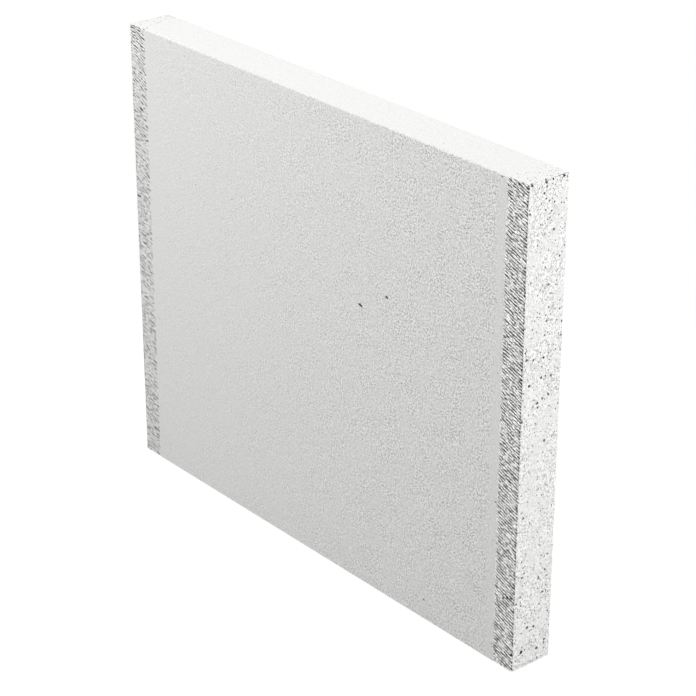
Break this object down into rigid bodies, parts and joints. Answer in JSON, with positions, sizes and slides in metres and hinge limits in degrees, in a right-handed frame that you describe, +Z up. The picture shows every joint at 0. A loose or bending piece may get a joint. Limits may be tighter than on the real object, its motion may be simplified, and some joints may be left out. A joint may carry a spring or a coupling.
{
  "type": "aerated concrete block",
  "caption": "Thin flat rectangular block of aerated concrete for laying partition walls, smoothed on its broad faces, with a raw wire-cut band round each end and plain square ends.",
  "frame": {"origin": "middle of the bed face that the block stands on", "axes": "+X along the block's length, +Y through its thickness towards the back face, +Z up to the upper bed face"},
  "size_m": [0.599, 0.05, 0.499],
  "materials": {
    "aerated_concrete": "matt, finely porous"
  },
  "bodies": {
    "root": {"aerated_concrete_block": "aerated_concrete"}
  },
  "joints": []
}
